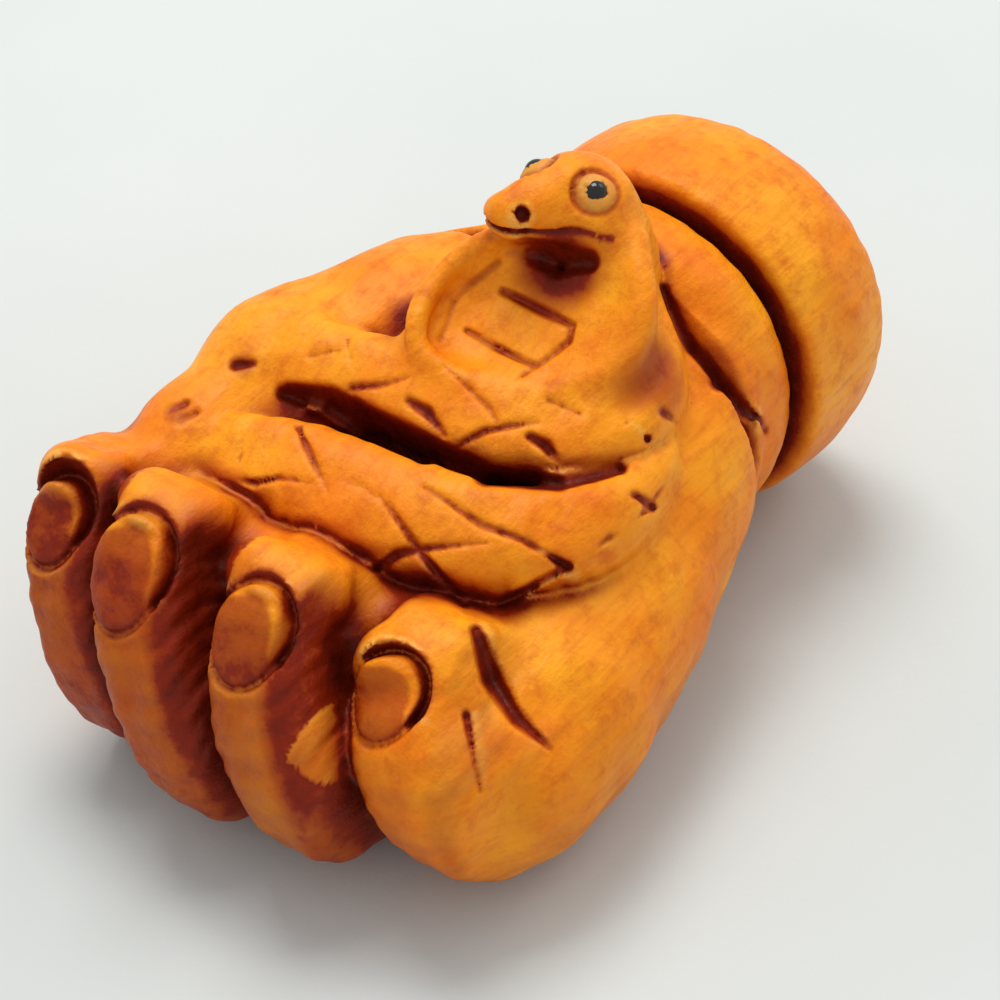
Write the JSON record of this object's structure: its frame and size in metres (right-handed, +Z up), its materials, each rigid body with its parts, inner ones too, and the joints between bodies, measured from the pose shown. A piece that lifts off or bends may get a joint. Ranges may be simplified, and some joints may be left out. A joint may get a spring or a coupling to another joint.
{
  "type": "carved netsuke",
  "caption": "Boxwood netsuke carved as an open hand, palm up with curled fingers, holding a coiled cobra that rears its hood.",
  "frame": {"origin": "middle of the box on the surface that the netsuke stands on", "axes": "+Z up, +Y from the fingertips to the cuff, +X towards the little finger"},
  "size_m": [0.035, 0.0526, 0.0298],
  "materials": {
    "boxwood": "oiled boxwood stained orange brown, semi-gloss, dark stain left in the cuts",
    "eye_inlay": "polished black inlay"
  },
  "bodies": {
    "root": {"carving": "boxwood", "near_eye": "eye_inlay", "far_eye": "eye_inlay"}
  },
  "joints": []
}
